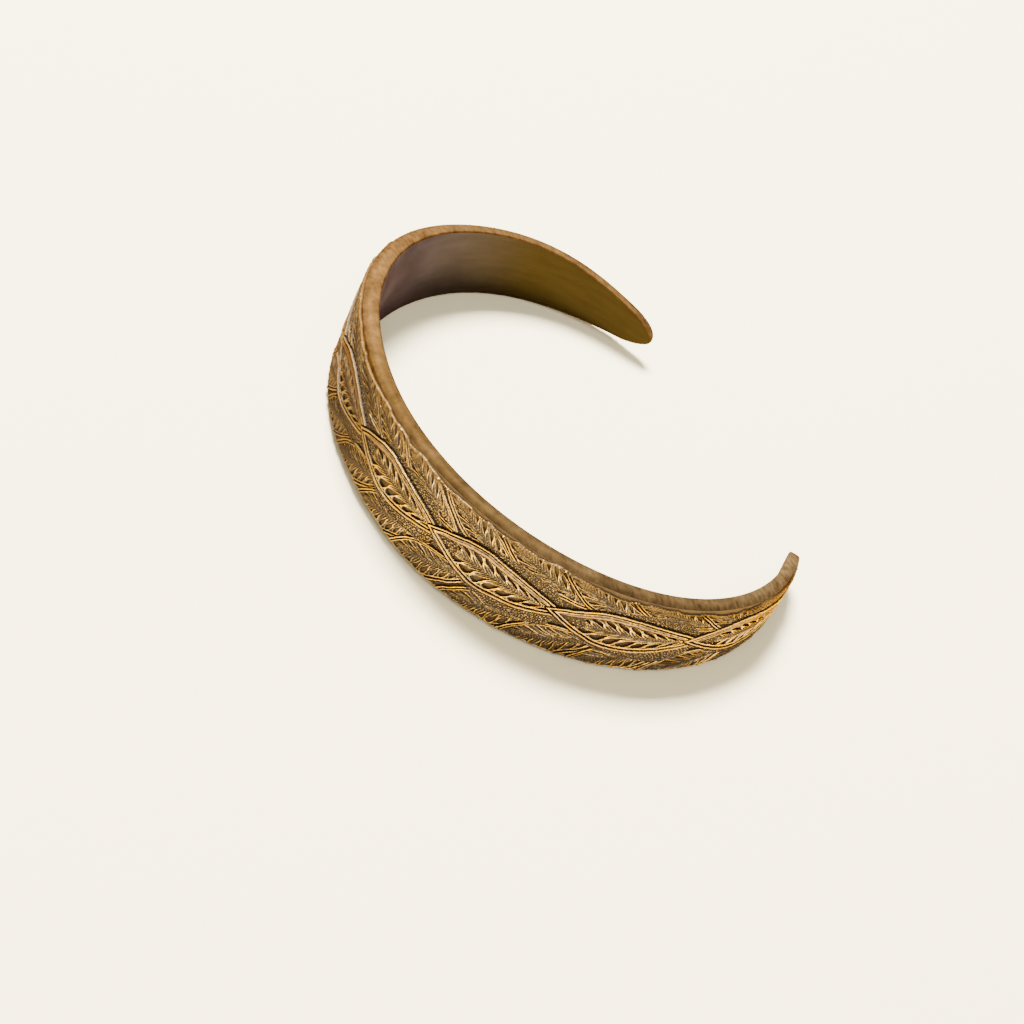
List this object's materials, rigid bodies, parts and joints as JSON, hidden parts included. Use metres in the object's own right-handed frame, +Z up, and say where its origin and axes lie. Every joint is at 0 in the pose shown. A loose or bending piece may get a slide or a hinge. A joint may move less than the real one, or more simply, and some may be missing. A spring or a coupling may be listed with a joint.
{
  "type": "cuff bracelet",
  "caption": "Open cuff bracelet cast in one piece: a tapered band with rounded ends, smooth inside and covered outside with raised feathers.",
  "frame": {"origin": "middle of the footprint of the cuff lying on its lower edge, on the surface it rests on", "axes": "+Z up from the surface, +X from the back of the cuff to its opening, +Y across the wrist"},
  "size_m": [0.0498, 0.0672, 0.0134],
  "materials": {
    "antique_bronze": "antique bronze: satin rim and inside, bright worn ridges over dark recesses outside"
  },
  "bodies": {
    "root": {"cuff": "antique_bronze"}
  },
  "joints": []
}
